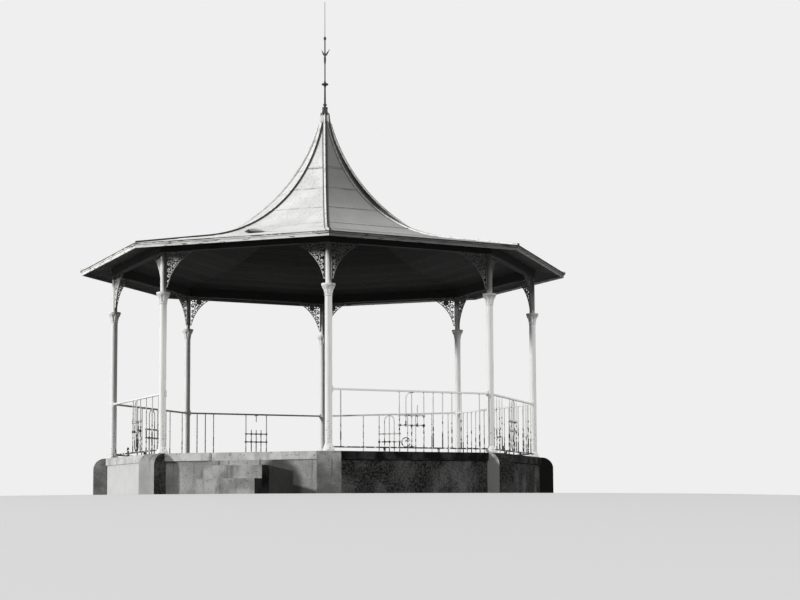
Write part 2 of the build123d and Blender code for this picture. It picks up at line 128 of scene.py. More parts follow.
def look(thing, aim, roll=0.0):
    """Turn a camera or lamp to look along a direction."""
    thing.rotation_mode = "QUATERNION"
    thing.rotation_quaternion = aim.to_track_quat("-Z", "Y") @ Matrix.Rotation(roll, 3, "Z").to_quaternion()


camera_data = bpy.data.cameras.new("camera")
camera_data.lens = LENS
camera_data.sensor_width = SENSOR
camera_data.shift_y = LENS_SHIFT
camera_data.clip_end = SEES_TO
camera = add_object("camera", camera_data)
camera.location = direction(VIEW_AZIMUTH, 0) * VIEW_DISTANCE + UP * VIEW_HEIGHT
look(camera, -direction(VIEW_AZIMUTH - AIM_RIGHT, -AIM_UP), ROLL)
bpy.context.scene.camera = camera
print("camera at", [round(value, 2) for value in camera.location])

# %% [markdown]
# ## Colours and nodes
# Paint makers give colours as sRGB hex values, while Blender's shaders work in linear light,
# so one function turns the first into the second. The photograph has no colour, so each finish
# is a neutral grey. Materials and the world could use pictures, but nodes need no unwrapped
# meshes and stay sharp close up. One method adds a node with its settings and links, and the
# others are the steps that a mask needs.

# %% Make helpers for nodes
def linear(code):
    """An sRGB hex colour as linear red, green, blue and alpha."""
    parts = [int(code[place:place + 2], 16) / 255 for place in (1, 3, 5)]
    return [part / 12.92 if part <= 0.04045 else ((part + 0.055) / 1.055) ** 2.4 for part in parts] + [1]


class Nodes:
    """The nodes of a material or a world."""

    def __init__(self, holder):
        holder.use_nodes = True
        self.tree = holder.node_tree

    def give(self, inlet, value):
        """Give an input a value, a hex colour, or a socket to link from."""
        if isinstance(value, bpy.types.NodeSocket):
            self.tree.links.new(value, inlet)
        else:
            inlet.default_value = linear(value) if isinstance(value, str) else value

    def add(self, kind, inputs=None, **settings):
        """Add one node and return its outputs."""
        made = self.tree.nodes.new("ShaderNode" + kind)
        for name, value in settings.items():
            setattr(made, name, value)
        for name, value in (inputs or {}).items():
            self.give(made.inputs[name], value)
        return made.outputs

    def combine(self, first, second, operation="MULTIPLY"):
        """Two values worked together, kept between 0 and 1."""
        return self.add("Math", {0: first, 1: second}, operation=operation, use_clamp=True)[0]

    def between(self, value, low, high, start=0.0, end=1.0):
        """A value from a start to an end as another goes from low to high, eased at both ends."""
        inputs = {"Value": value, "From Min": low, "From Max": high, "To Min": start, "To Max": end}
        return self.add("MapRange", inputs, interpolation_type="SMOOTHSTEP")["Result"]

    def layer(self, under, over, mask):
        """One colour over another where a mask is 1."""
        return self.add("MixRGB", {"Fac": mask, "Color1": under, "Color2": over})["Color"]

    def seen(self):
        """1 for what the camera sees, straight, in a reflection or through glass."""
        rays = self.add("LightPath")
        seen = self.combine(rays["Is Camera Ray"], rays["Is Glossy Ray"], "MAXIMUM")
        return self.combine(seen, rays["Is Transmission Ray"], "MAXIMUM")


print("mid grey is", [round(value, 3) for value in linear("#808080")])

# %% [markdown]
# Every finish here is a base with coats over it, such as streaks, flakes or damp. A coat needs
# a pattern of a known size and a mask that says where it shows. The mask could be painted by
# hand, but one made of noise covers every piece that gets the finish. A noise pattern's scale
# is the number of its blotches in a metre, so it is worked out from a blotch's size in
# millimetres. A tall blotch makes a streak that runs down a wall.

# %% Make finishes from real sizes
class Finish(Nodes):
    """A material that starts from one colour and gets coats over it."""

    def __init__(self, name, colour, roughness, specular):
        self.material = bpy.data.materials.new(name)
        super().__init__(self.material)
        self.surface = self.tree.nodes["Principled BSDF"].inputs
        self.give(self.surface["Roughness"], roughness)
        self.give(self.surface["Specular IOR Level"], specular)
        self.metres = self.add("TexCoord")["Object"]
        self.colour = colour

    def blotches(self, width, height=None, detail=4.0, place=None):
        """Noise from 0 to 1 with blotches of a width and a height in millimetres."""
        across, up = 1000 / width, 1000 / (height or width)
        place = self.metres if place is None else place
        scaled = self.add("Mapping", {"Vector": place, "Scale": (across, across, up)})[0]
        return self.add("TexNoise", {"Vector": scaled, "Scale": 1.0, "Detail": detail})["Fac"]

    def patches(self, width, low, high, most=1.0, least=0.0, **noise):
        """A mask of blotches that show between two levels of their noise."""
        return self.between(self.blotches(width, **noise), low, high, least, most)

    def coat(self, colour, mask, share=None):
        """Lay a colour over the finish where a mask is 1, or a share of it."""
        mask = self.combine(mask, share) if share else mask
        self.colour = self.layer(self.colour, colour, mask)
        self.give(self.surface["Base Color"], self.colour)

    def emboss(self, height, depth):
        """Relief from a height pattern, with its depth in millimetres."""
        relief = self.add("Bump", {"Height": height, "Distance": depth / 1000, "Strength": 1.0})
        self.give(self.surface["Normal"], relief["Normal"])

    def dull(self, mask, full, specular):
        """Take the shine away as a mask grows to its full value."""
        self.give(self.surface["Specular IOR Level"], self.between(mask, 0.0, full, specular, 0.0))

    def dress(self, *node_names):
        """Give CAD nodes this finish in place of their plain one."""
        for name in node_names:
            slots = nodes[name].data.materials
            slots.clear()
            slots.append(self.material)


print("a 40 mm blotch has a noise scale of", 1000 / 40)

# %% [markdown]
# ## The ground
# The floor is plain and pale. It could be a flat plane, but the camera stands lower than the
# bandstand's foot and would see it from beneath. So it is a level disc under the plinth that
# falls away gently all round. It throws up much less light than its look would, as a rough
# dark surface does. Like most meshes here it is built from rings of points, with a skin of
# faces between them.

# %% Make the floor
FLAT_RADIUS = 5.2
FLOOR_RADIUS = 90.0
FALL = 0.066
ROUNDED = 6.0
FIRST_RADIUS = 0.05
RINGS, SPREAD = 60, 1.6
SPOKES = 96


def floor_height(radius):
    """Level up to a shoulder, then rounding over to an even fall."""
    beyond = max(radius - FLAT_RADIUS, 0)
    if beyond < ROUNDED:
        return -FALL * beyond ** 2 / (2 * ROUNDED)
    return -FALL * (beyond - ROUNDED / 2)


def add_ring(mesh, centre, across, up, corners, reach):
    """A ring of points about a centre, where reach gives the radius at an angle."""
    ring = []
    for corner in range(corners):
        angle = math.tau * corner / corners
        ring.append(mesh.verts.new(centre + (across * math.cos(angle) + up * math.sin(angle)) * reach(angle)))
    return ring


def add_skin(mesh, rows, ends=(0, -1), smooth=False):
    """Faces from each closed row of points to the next, and flat ones over the rows at the ends."""
    for first, second in zip(rows, rows[1:]):
        for corner in range(len(first)):
            after = (corner + 1) % len(first)
            mesh.faces.new((first[corner], first[after], second[after], second[corner])).smooth = smooth
    for end in ends:
        mesh.faces.new(rows[end])


def finish_mesh(name, mesh, finish):
    """Turn a bmesh into an object with its faces outwards and one finish."""
    bmesh.ops.recalc_face_normals(mesh, faces=mesh.faces)
    data = bpy.data.meshes.new(name)
    mesh.to_mesh(data)
    mesh.free()
    data.materials.append(finish.material)
    return add_object(name, data)


floor_mesh = bmesh.new()
rows = []
for radius in [FIRST_RADIUS] + [FLOOR_RADIUS * (ring / RINGS) ** SPREAD for ring in range(1, RINGS + 1)]:
    rows.append(add_ring(floor_mesh, UP * floor_height(radius), EAST, NORTH, SPOKES, lambda angle: radius))
add_skin(floor_mesh, rows, (0,), smooth=True)
floor_finish = Finish("pale studio floor", "#6a6a6a", 0.95, 0.1)
floor_finish.coat("#dcdcdc", floor_finish.seen())
finish_mesh("floor", floor_mesh, floor_finish)
print("the floor is", round(-floor_height(VIEW_DISTANCE), 2), "m lower where the camera stands")

# %% [markdown]
# ## The light
# In the photograph a low sun stands to the left, and its place follows from the shadows of the
# steps and piers on the wall behind them. A far area lamp gives that side light, and a wide
# soft lamp on the right lights the columns' other sides. A picture of a sky could give both at
# once, but lamps can be changed one at a time. Little light came from near the horizon, so the
# world's fill grows from there up to the zenith. Where it is seen itself, the world is a plain
# pale grey.

# %% Light the object
def add_lamp(name, side, height, distance, size, power):
    """A round lamp aimed at the bandstand, placed by angles in degrees from the camera's side."""
    data = bpy.data.lights.new(name, "AREA")
    data.shape = "DISK"
    data.size = size
    data.energy = power
    lamp = add_object(name, data)
    turn = VIEW_AZIMUTH + math.radians(side)
    towards = direction(turn, math.radians(height))
    lamp.location = towards * distance + UP * (floor_top + plate_bottom) / 2
    look(lamp, -towards)
    return turn


heading = add_lamp("key", side=-76.2, height=9.6, distance=90.0, size=5.0, power=69000)
add_lamp("soft side", side=44, height=30, distance=120.0, size=44.0, power=71000)
FILL_RISE = (0.3, 0.95)
FILL_LOW, FILL_HIGH = 0.03, 0.75

world = bpy.data.worlds.new("pale sky")
bpy.context.scene.world = world
sky = Nodes(world)
fill = sky.tree.nodes["Background"]
rise = sky.add("SeparateXYZ", {"Vector": sky.add("TexCoord")["Generated"]})["Z"]
sky.give(fill.inputs["Color"], "#ffffff")
sky.give(fill.inputs["Strength"], sky.between(rise, *FILL_RISE, FILL_LOW, FILL_HIGH))
backdrop = sky.add("Background", {"Color": "#efefef", "Strength": 1.0})[0]
shown = sky.add("MixShader", {0: sky.seen(), 1: fill.outputs[0], 2: backdrop})[0]
sky.give(sky.tree.nodes["World Output"].inputs["Surface"], shown)
bpy.context.scene.view_settings.view_transform = "Standard"
print("the sun stands", round(-math.degrees(heading)), "degrees to the left of the steps")

# %% [markdown]
# ## Weathered cement render
# The plinth walls and piers are rendered with sand and cement, floated by hand and long
# weathered: soft pale and dark clouds, streaks of soot that run down from the coping, a damp
# foot, and green algae on the faces that the sun never dries, painted near black there as
# painted shade too. The faces turned to the key lamp are painted paler, with fewer streaks, as
# painted light. Its sand leaves it almost no shine. One picture could be stretched over the
# walls, but masks made from height, from facing the sun and from noise put each mark in place.

# %% Mix the render
SUN_SIDE = direction(heading, 0)
STEPS_SHADOW_MIDDLE = (0.62, -wall_face, 0.15)
PIER_RADIUS = 0.8


def facing(finish, low, high, side=SUN_SIDE):
    """From 0 to 1 as faces turn from one share of facing the sun, or a side, to another."""
    normal = finish.add("NewGeometry")["True Normal"]
    share = finish.add("VectorMath", {0: normal, 1: side}, operation="DOT_PRODUCT")["Value"]
    return finish.between(share, low, high)


def distance_from(finish, place):
    """How far the surface lies from a place, in metres."""
    return finish.add("VectorMath", {0: finish.metres, 1: place}, operation="DISTANCE")["Value"]


def near_column(finish, number):
    """1 on the pier under a column, and 0 farther off."""
    distance = distance_from(finish, column_places[number] + UP * floor_top / 2)
    return finish.between(distance, PIER_RADIUS, PIER_RADIUS - 0.1)


def mix_render(name, pale, dark, algae_and_shade_tone, painted_light_tone):
    """Cement render with clouds, streaks, a damp foot, algae with painted shade, and painted light on the
    sunny side.
    """
    render = Finish(name, pale, 0.93, 0.06)
    height = render.add("SeparateXYZ", {"Vector": render.metres})["Z"]
    render.coat(dark, render.patches(420, 0.3, 0.7, height=300))
    render.coat(dark, render.patches(90, 0.42, 0.66, 0.35, height=130, detail=6.0))
    render.coat("#5a5a58", render.patches(26, 0.5, 0.66, 0.4))
    # Painted light: faces turned to the key lamp are painted paler and get fewer streaks.
    painted_light_side = facing(render, 0.6, 1.0)
    render.coat(painted_light_tone, painted_light_side, 0.72)
    under_coping = render.between(height, 0.05, floor_top - 0.08, 0.1, 0.7)
    streaks = render.combine(render.patches(60, 0.54, 0.7, height=900), under_coping)
    render.coat("#4b4b4a", render.combine(streaks, render.between(painted_light_side, 0.0, 1.0, 1.0, 0.35)))
    above = render.combine(height, render.blotches(240, 120), "SUBTRACT")
    render.coat("#353534", render.between(above, -0.28, -0.46))
    # Algae on the faces turned from the sun, painted near black as painted shade as well.
    algae_and_painted_shade = render.layer(algae_and_shade_tone, "#161616", render.patches(28, 0.4, 0.6, detail=6.0))
    patchy = render.patches(350, 0.3, 0.55, 1.0, 0.8, height=500)
    render.coat(algae_and_painted_shade, render.combine(facing(render, 0.02, -0.08), patchy))
    # Real sand grains are about 1 mm, too fine to show, so they are drawn as 7 mm ones.
    render.emboss(render.combine(render.blotches(7), render.blotches(90)), 6)
    return render


walls = mix_render("weathered cement render", "#bababa", "#969694", "#434342", "#e0e0de")
# Painted shadow: the steps' cast shadow on the wall beside them is painted dark here.
walls.coat("#3a3a39", walls.between(distance_from(walls, STEPS_SHADOW_MIDDLE), 0.46, 0.32, 0.0, 0.85))
piers = mix_render("weathered render on the piers", "#aaaaa8", "#6c6c6a", "#3c3c3b", "#c6c6c4")
# East of the steps, the first pier is grimy, the next has painted light, its near face painted
# paler as if sunlit, and the one after that is painted near black as painted shade.
painted_light_face = facing(piers, 0.8, 0.95, direction(-BAY / 2, 0))
# Painted light on the second pier's near face.
piers.coat("#d2d2d0", piers.combine(near_column(piers, 2), painted_light_face))
# Painted shade on the third pier.
piers.coat("#1c1c1b", near_column(piers, 3))
piers.coat("#4a4a49", near_column(piers, 1), 0.3)
walls.dress(*[f"plinth_wall_{name}" for name in BAY_NAMES])
piers.dress("plinth_piers", "plinth_core")
print("render on", len(BAY_NAMES), "walls and the piers")

# %% [markdown]
# ## Cast concrete
# The coping, floor and steps are cast concrete. Feet and rain have polished off its skin, and it
# has dark lichen spots and grime, and its grit stands out. Its faces turned from the sun are
# painted near black as painted shade, up to a given front line. It could share the render's
# function, but it has no damp foot and no painted light, so its own is shorter and serves twice.

# %% Cast the concrete
def cast_concrete(name, pale, dark, grime, shade_front):
    """Concrete with grit, grime and lichen, and painted shade, near black, on its sides turned from the sun
    behind a front line.
    """
    concrete = Finish(name, pale, 0.88, 0.1)
    concrete.coat(dark, concrete.patches(260, 0.35, 0.65))
    concrete.coat("#666663", concrete.patches(45, 0.6, 0.67, 0.6, detail=8.0))
    concrete.coat("#454544", concrete.patches(90, 0.5, 0.72, grime, height=700))
    # Painted shade: faces turned from the sun, behind the front line, are painted near black.
    patchy = concrete.patches(200, 0.3, 0.6, 1.0, 0.93)
    shaded = concrete.combine(facing(concrete, 0.02, -0.08), patchy)
    inwards = concrete.add("SeparateXYZ", {"Vector": concrete.metres})["Y"]
    behind = concrete.between(inwards, shade_front, shade_front + 0.05)
    concrete.coat("#080808", concrete.combine(shaded, behind))
    # Real grit is finer than 9 mm, and is drawn so coarse to show in the render.
    concrete.emboss(concrete.blotches(9, detail=6.0), 5)
    return concrete


coping = cast_concrete("weathered concrete coping", "#d6d6d4", "#bababa", 0.25, -wall_face)
steps = cast_concrete("worn concrete steps", "#b6b6b4", "#8e8e8c", 0.45, cad_low.y - 1.0)
coping.dress("plinth_coping", "floor_slab")
steps.dress("lower_step", "upper_step")
print("concrete on the coping, floor and steps")

# %% [markdown]
# ## Gloss paint on cast iron
# The columns and brackets are iron, cast in sand moulds, and painted white many times. The
# thick oil paint is smooth and slightly glossy over the moulding's faint lumps. Rain has left
# thin grey runs, and at the foot the paint has chipped off in small flakes down to rust. Painted
# shade darkens the tops under the eave, and comes lower down on the sides turned from the sun
# and on all that stands beyond the front column. Chips could be cut into the meshes, but noise
# held against a level that rises with height puts most of them at the foot, and needs no faces.

# %% Paint the cast iron
SHADE_RISE = (3.0, 3.25)
SHADE_FULL = (3.52, 3.66)
SHADE_EAST = (1.43, 1.48)
HANDRAIL_FOOT = floor_top + 0.84


def paint_over_iron(name, paint, grime, rust, chipped, roughness, metal_size, kept=None):
    """Old paint with runs of grime and painted shade, chipped from one share at the foot to another higher
    up.
    """
    iron = Finish(name, paint, roughness, 0.3)
    places = iron.add("SeparateXYZ", {"Vector": iron.metres})
    height = places["Z"]
    iron.coat(grime, iron.patches(22, 0.52, 0.75, 0.6, height=500))
    if kept:
        iron.coat(kept, iron.between(height, HANDRAIL_FOOT, HANDRAIL_FOOT + 0.04))
    # Painted shade: tops under the eave, sides turned from the sun and all beyond the front column.
    east_of_front = iron.between(places["X"], *SHADE_EAST)
    shaded = iron.combine(facing(iron, 0.05, -0.15), east_of_front, "MAXIMUM")
    painted_shade = iron.combine(shaded, iron.between(height, *SHADE_RISE))
    painted_shade = iron.combine(painted_shade, iron.between(height, *SHADE_FULL), "MAXIMUM")
    iron.coat("#343432", painted_shade, 0.88)
    left_on = iron.between(height, floor_top, floor_top + 1.0, *chipped)
    scales = iron.blotches(metal_size, detail=8.0)
    bare = iron.add("Math", {0: scales, 1: left_on}, operation="GREATER_THAN")[0]
    iron.coat(rust, bare)
    iron.give(iron.surface["Roughness"], iron.between(bare, 0.0, 1.0, roughness, 0.85))
    iron.emboss(iron.combine(iron.blotches(30), iron.between(bare, 0.0, 1.0, 1.0, 0.55)), 2)
    return iron


white_paint = paint_over_iron(
    "white gloss paint on cast iron", "#f2f2f0", "#b8b8b5", "#4a4846", (0.63, 0.72), 0.45, 26)
for number in range(SIDES):
    white_paint.dress(f"column_{number + 1}", f"brackets_{number + 1}")
print("white paint on", SIDES, "columns and their brackets")

# %% [markdown]
# ## Worn paint on wrought iron
# The railings are wrought bars, forged and riveted. Their white paint is chalky. Rust has
# lifted more and more of it down the bars, in patches a few centimetres long, so their feet
# look dark. On four railings the handrail has kept its paint. The function for the columns
# mixes this paint too, because only its amounts differ.

# %% Paint the wrought iron
WHOLE_RAILS = ("south_west", "south_east", "east", "north_east")

rail_paint = paint_over_iron(
    "worn paint on wrought iron", "#d0d0ce", "#7c7c7a", "#33312f", (0.42, 0.66), 0.55, 60)
whole_rail = paint_over_iron(
    "white paint on wrought iron", "#e0e0de", "#8c8c8a", "#33312f", (0.42, 0.72), 0.5, 60, "#f6f6f4")
for name in BAY_NAMES[1:]:
    (whole_rail if name in WHOLE_RAILS else rail_paint).dress(f"railing_{name}")
print("worn paint on", SIDES - 1, "railings")

# %% [markdown]
# ## Coordinates that follow a bay
# The roof's boards and stains run along and across each bay, and the bays face eight ways.
# Eight materials could serve them, one to a bay. Here the angle round the axis is folded into
# one bay's angle instead, which turns a place in plan into its distance out from the middle
# and its distance along the bay, and one material serves all.

# %% Fold the plan into one bay
def bay_coordinates(finish):
    """Distance out across the bay, distance along it from its middle, and height, in metres."""
    parts = finish.add("SeparateXYZ", {"Vector": finish.metres})
    turned = finish.add("Math", {0: parts["Y"], 1: parts["X"]}, operation="ARCTAN2")[0]
    folded = finish.add("Math", {0: turned, 1: BAY / 2, 2: -BAY / 2}, operation="WRAP")[0]
    flat = finish.add("CombineXYZ", {"X": parts["X"], "Y": parts["Y"]})[0]
    reach = finish.add("VectorMath", {0: flat}, operation="LENGTH")["Value"]
    cosine = finish.add("Math", {0: folded}, operation="COSINE")[0]
    sine = finish.add("Math", {0: folded}, operation="SINE")[0]
    out = finish.add("Math", {0: reach, 1: cosine}, operation="MULTIPLY")[0]
    along = finish.add("Math", {0: reach, 1: sine}, operation="MULTIPLY")[0]
    return finish.add("CombineXYZ", {"X": out, "Y": along, "Z": parts["Z"]})[0]


print("one bay spans", round(math.degrees(BAY)), "degrees")

# %% [markdown]
# ## Grey paint on sheet iron
# The roof is thin sheet, nailed to boards in courses about 0.6 m wide and painted light grey.
# It dents a little between its nails, so its shine wavers. The dark line under each lap is soot
# in the joint and painted shade under the lap's edge, and the dark line beside each hip roll is
# painted shade. The steep sheets turned from the sun are painted grey, and those on the far
# side of it black and dull, as painted shade. The lines could be grooves in the mesh, but they
# are drawn as colour, by their distance from the axis and the hips.

# %% Paint the sheet
LAPS_OUT = (3.13, 2.42, 1.80, 1.19, 0.755, 0.45)
LAP_SOOT_AND_SHADE = 0.011
HIP_SHADE = (0.030, 0.062)

roof = Finish("grey paint on sheet iron", "#eaeae8", 0.5, 0.35)
folded = bay_coordinates(roof)
places = roof.add("SeparateXYZ", {"Vector": folded})
down = roof.add("Mapping", {"Vector": folded, "Scale": (0.12, 1.0, 0.12)})[0]
roof.coat("#d8d8d6", roof.patches(500, 0.35, 0.65))
roof.coat("#8b8b89", roof.patches(45, 0.5, 0.75, 0.16, place=down))
roof.coat("#6e6e6c", roof.patches(34, 0.6, 0.68, 0.5, detail=8.0))
upward = roof.add("SeparateXYZ", {"Vector": roof.add("NewGeometry")["True Normal"]})["Z"]
# Painted shade: steep sheets turned from the sun are painted grey.
steep = roof.between(upward, 0.97, 0.55, 0.62, 0.97)
roof.coat("#5a5a59", roof.combine(facing(roof, 0.1, -0.05), steep), 0.95)
# Painted shade: sheets on the far side from the sun are painted black and dull.
behind = roof.combine(facing(roof, -0.3, -0.6), 0.95)
roof.coat("#242423", behind)
roof.dull(behind, 0.9, 0.35)
lap_soot_and_shade = None
# Dark lines under the laps: soot in the joint and painted shade under the lap's edge.
for out in LAPS_OUT:
    beyond = roof.add("Math", {0: places["X"], 1: out}, operation="SUBTRACT")[0]
    off = roof.add("Math", {0: beyond}, operation="ABSOLUTE")[0]
    line = roof.between(off, LAP_SOOT_AND_SHADE, LAP_SOOT_AND_SHADE / 2)
    lap_soot_and_shade = line if lap_soot_and_shade is None else roof.combine(lap_soot_and_shade, line, "MAXIMUM")
lap_soot_and_shade = roof.combine(lap_soot_and_shade, roof.patches(180, 0.35, 0.6, 0.62, 0.1))
# Painted shade: a dark line beside each hip roll.
reach = roof.add("Math", {0: places["X"], 1: TAN_HALF_BAY}, operation="MULTIPLY")[0]
aside = roof.add("Math", {0: places["Y"]}, operation="ABSOLUTE")[0]
from_hip = roof.add("Math", {0: reach, 1: aside}, operation="SUBTRACT")[0]
beside = roof.between(from_hip, HIP_SHADE[0] - 0.004, HIP_SHADE[0])
beside = roof.combine(beside, roof.between(from_hip, HIP_SHADE[1], HIP_SHADE[1] - 0.02))
roof.coat("#2c2c2b", roof.combine(lap_soot_and_shade, roof.combine(beside, 0.85), "MAXIMUM"))
roof.emboss(roof.blotches(260, detail=2.0), 6)
roof.dress(*[f"roof_sheet_{name}" for name in BAY_NAMES])
print("sheet on", SIDES, "bays of the roof")

# %% [markdown]
# The hip rolls are paler, and their sides away from the sun are painted black and dull as
# painted shade, like the far sheets. The sheet's own finish would draw its dark lines across
# them, so they get this one.

# %% Paint the hip rolls
hips = Finish("pale paint on the hip rolls", "#f0f0ee", 0.5, 0.3)
hips.coat("#a0a09e", hips.patches(60, 0.45, 0.7, 0.6, detail=6.0))
# Painted shade on the sides away from the sun.
sunless = facing(hips, 0.3, -0.05)
hips.coat("#262625", sunless, 0.95)
hips.dull(sunless, 1.0, 0.3)
hips.emboss(hips.blotches(40), 2)
hips.dress("hip_rolls")
print("paler paint on the hip rolls")

# %% [markdown]
# ## Tarred boards
# The lining that shows from below is sawn softwood boards, laid level across each bay and
# stained dark, and painted near black as painted shade for the deep shade under the roof. Each
# board is about 150 mm wide, with a narrow gap to the next, and the grain runs along it. The
# boards could be modelled one by one, but they lie in deep shadow, where drawn gaps look the same.

# %% Stain the boards
BOARD_WIDTH = 0.15
BOARD_GAP = 0.06

boards = Finish("near black softwood boards with painted shade", "#1d1d1c", 0.85, 0.25)
folded = bay_coordinates(boards)
out = boards.add("SeparateXYZ", {"Vector": folded})["X"]
place = boards.add("Math", {0: out, 1: 1 / BOARD_WIDTH}, operation="MULTIPLY")[0]
board = boards.add("Math", {0: place}, operation="FLOOR")[0]
tone = boards.add("TexWhiteNoise", {"W": board}, noise_dimensions="1D")["Value"]
along_grain = boards.add("Mapping", {"Vector": folded, "Scale": (1.0, 0.05, 1.0)})[0]
# Softwood's rings are 2 to 4 mm apart, and are drawn at 9 mm to show from below.
grain = boards.blotches(9, detail=6.0, place=along_grain)
across = boards.add("Math", {0: place}, operation="FRACT")[0]
gap = boards.add("Math", {0: across, 1: BOARD_GAP}, operation="GREATER_THAN")[0]
boards.coat("#333331", tone)
boards.coat("#141413", boards.between(grain, 0.45, 0.7, 0.0, 0.7))
boards.coat("#050505", boards.add("Math", {0: 1.0, 1: gap}, operation="SUBTRACT")[0])
boards.emboss(boards.combine(gap, boards.between(grain, 0.0, 1.0, 1.0, 0.8)), 4)
# The wall plate gets the same near black finish, as painted shade over its face.
boards.dress("roof_deck", "wall_plate")
print("boards are", round(BOARD_WIDTH * 1000), "mm wide")

# %% [markdown]
# ## Flaking paint on pine
# The fascia is a pine board round the eave. Its white paint has cracked along the grain and
# flaked off in long scales, which leaves grey bare wood between them. Its sides turned from the
# sun are painted near black as painted shade. Scales could be thin meshes, but from here only
# their pattern shows, so noise with a hard edge, stretched along the grain, stands for them.

# %% Flake the fascia
fascia = Finish("flaking paint on pine", "#4b4b49", 0.7, 0.3)
along_grain = fascia.add("Mapping", {"Vector": bay_coordinates(fascia), "Scale": (1.0, 0.15, 1.0)})[0]
left_on = fascia.patches(28, 0.64, 0.59, detail=8.0, place=along_grain)
# Pine's fibres are far finer than 5 mm, which is as fine as the render can show.
fibres = fascia.patches(5, 0.3, 0.7, place=along_grain)
fascia.coat("#7d7d7a", fibres)
fascia.coat("#eeeeec", left_on)
fascia.coat("#8a8a88", fascia.patches(300, 0.45, 0.7, 0.35))
# Painted shade on the sides turned from the sun.
fascia.coat("#2e2e2d", facing(fascia, 0.0, -0.12), 0.88)
fascia.emboss(fascia.combine(left_on, fibres, "ADD"), 2)
fascia.dress("eave_fascia")
print("flaking paint on the fascia")

# %% [markdown]
# ## Blackened wrought iron
# The finial is forged iron, painted black long ago. The paint has dulled and the iron has
# pitted under it, so it catches only a broad, weak highlight. A metallic surface would look
# like bare steel, so this one stays paint.

# %% Blacken the finial
black_iron = Finish("blackened wrought iron", "#242423", 0.65, 0.5)
black_iron.coat("#3d3b39", black_iron.patches(14, 0.5, 0.65, detail=6.0))
# Real pits are 1 or 2 mm wide, and are drawn at 8 mm to show at all.
black_iron.emboss(black_iron.blotches(8), 1)
black_iron.dress("finial_rod", "finial_drum")
print("black iron on the finial")

# %% [markdown]
# ## Small pieces
# What is too fine for the CAD model is made here as meshes, most of them repeated round the
# octagon. They could be modelled by hand and copied, but a function makes all eight bays alike
# and follows the CAD model's sizes. A piece is drawn in the bay of the steps, with x along the
# bay, y inwards and z up, and is turned about the axis to its own bay. A bent plate is built
# from rows of points that come in pairs, one on its front and one on its back.

# %% Make helpers for small pieces
def bay_turn(number):
    """The turn about the axis that takes the bay of the steps to another bay."""
    return Matrix.Rotation(BAY * number, 4, "Z")


def bay_axes(number, side=1):
    """The direction along a bay, to one side or the other, and the direction out of it."""
    turn = bay_turn(number).to_3x3()
    return turn @ Vector((side, 0, 0)), turn @ Vector((0, -1, 0))


def make_piece(name, mesh, finish, smooth=False, replaced=None):
    """Turn a bmesh into a piece with a finish; smooth=None keeps each face's own."""
    for face in mesh.faces:
        face.smooth = face.smooth if smooth is None else smooth
    piece = finish_mesh(name, mesh, finish)
    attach(piece, "root")
    if replaced:
        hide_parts(replaced)
    print(name, "has", len(piece.data.polygons), "faces")


def add_bent_plate(mesh, rows):
    """A thin bent plate from rows of points, each a pair of a front and a back one."""
    last = len(rows[0]) - 1
    for first, second in zip(rows, rows[1:]):
        for side in range(last):
            for face in (0, 1):
                corners = first[side], first[side + 1], second[side + 1], second[side]
                mesh.faces.new([corner[face] for corner in corners]).smooth = True
        for side in (0, last):
            mesh.faces.new((*first[side], *second[side][::-1]))
    for row in (rows[0], rows[-1]):
        for side in range(last):
            mesh.faces.new((*row[side], *row[side + 1][::-1]))


def add_strip(mesh, start, end, across, up, width, height, top_share=0.7):
    """A low bar between two places, a little narrower on top."""
    rows = []
    for place in (start, end):
        sides = ((-1, 0, 1), (1, 0, 1), (1, 1, top_share), (-1, 1, top_share))
        rows.append([mesh.verts.new(place + across * side * share * width / 2 + up * rise * height)
                     for side, rise, share in sides])
    add_skin(mesh, rows)


def solid_tree(name):
    """A CAD node's faces, ready for rays to be shot at them."""
    data = nodes[name].data
    places = [vert.co for vert in data.vertices]
    return BVHTree.FromPolygons(places, [face.vertices for face in data.polygons])


# %% [markdown]
# ## Laps in the roof
# Each course of sheet laps over the one below, and the edge is dressed down into a low welt
# above its line of soot. The welts run level across a bay, from hip roll to hip roll. Whole
# sheets could be laid over each other, but a low strip on the CAD sheet catches the light in
# the same way. A ray dropped on the sheet finds the height and slope of each.

# %% Lay the laps
LAP_WIDTH = 0.020
LAP_HEIGHT = 0.006
HIP_CLEAR = 0.034

sheet_tree = solid_tree("roof_sheet_south")
sheet_eave = -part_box("roof_sheet_south")[0].y


def roof_top(out):
    """Where the sheet's top lies at a distance out from the axis, in the middle of the steps bay."""
    hit = sheet_tree.ray_cast(Vector((0, -out, cad_high.z)), -UP)[0]
    return Vector((0, -out, hit.z))


def roof_axes(out):
    """The directions straight up the roof and square off it, at a distance out."""
    slope = (roof_top(out - 0.01) - roof_top(out + 0.01)).normalized()
    return slope, Vector((0, -slope.z, slope.y))


lap_mesh = bmesh.new()
for number in range(SIDES):
    turn = bay_turn(number)
    for out in LAPS_OUT:
        foot = roof_top(out - LAP_SOOT_AND_SHADE - LAP_WIDTH / 2)
        half = Vector((-foot.y * TAN_HALF_BAY - HIP_CLEAR, 0, 0))
        slope, normal = (turn.to_3x3() @ axis for axis in roof_axes(-foot.y))
        add_strip(lap_mesh, turn @ (foot - half), turn @ (foot + half), slope, normal, LAP_WIDTH, LAP_HEIGHT)
make_piece("roof_laps", lap_mesh, roof)

# %% [markdown]
# ## The worn edge of the roof
# The sheet hangs over the fascia as a drip. Its edge has been bent, torn and rusted, and it is
# painted dark, for its rust and as painted shade in the gap under it, so it makes a ragged dark
# line between the pale roof and the pale board. A straight strip would look new. This one's
# lower edge wanders by random numbers, which start from a fixed one so that every run draws the
# same edge.

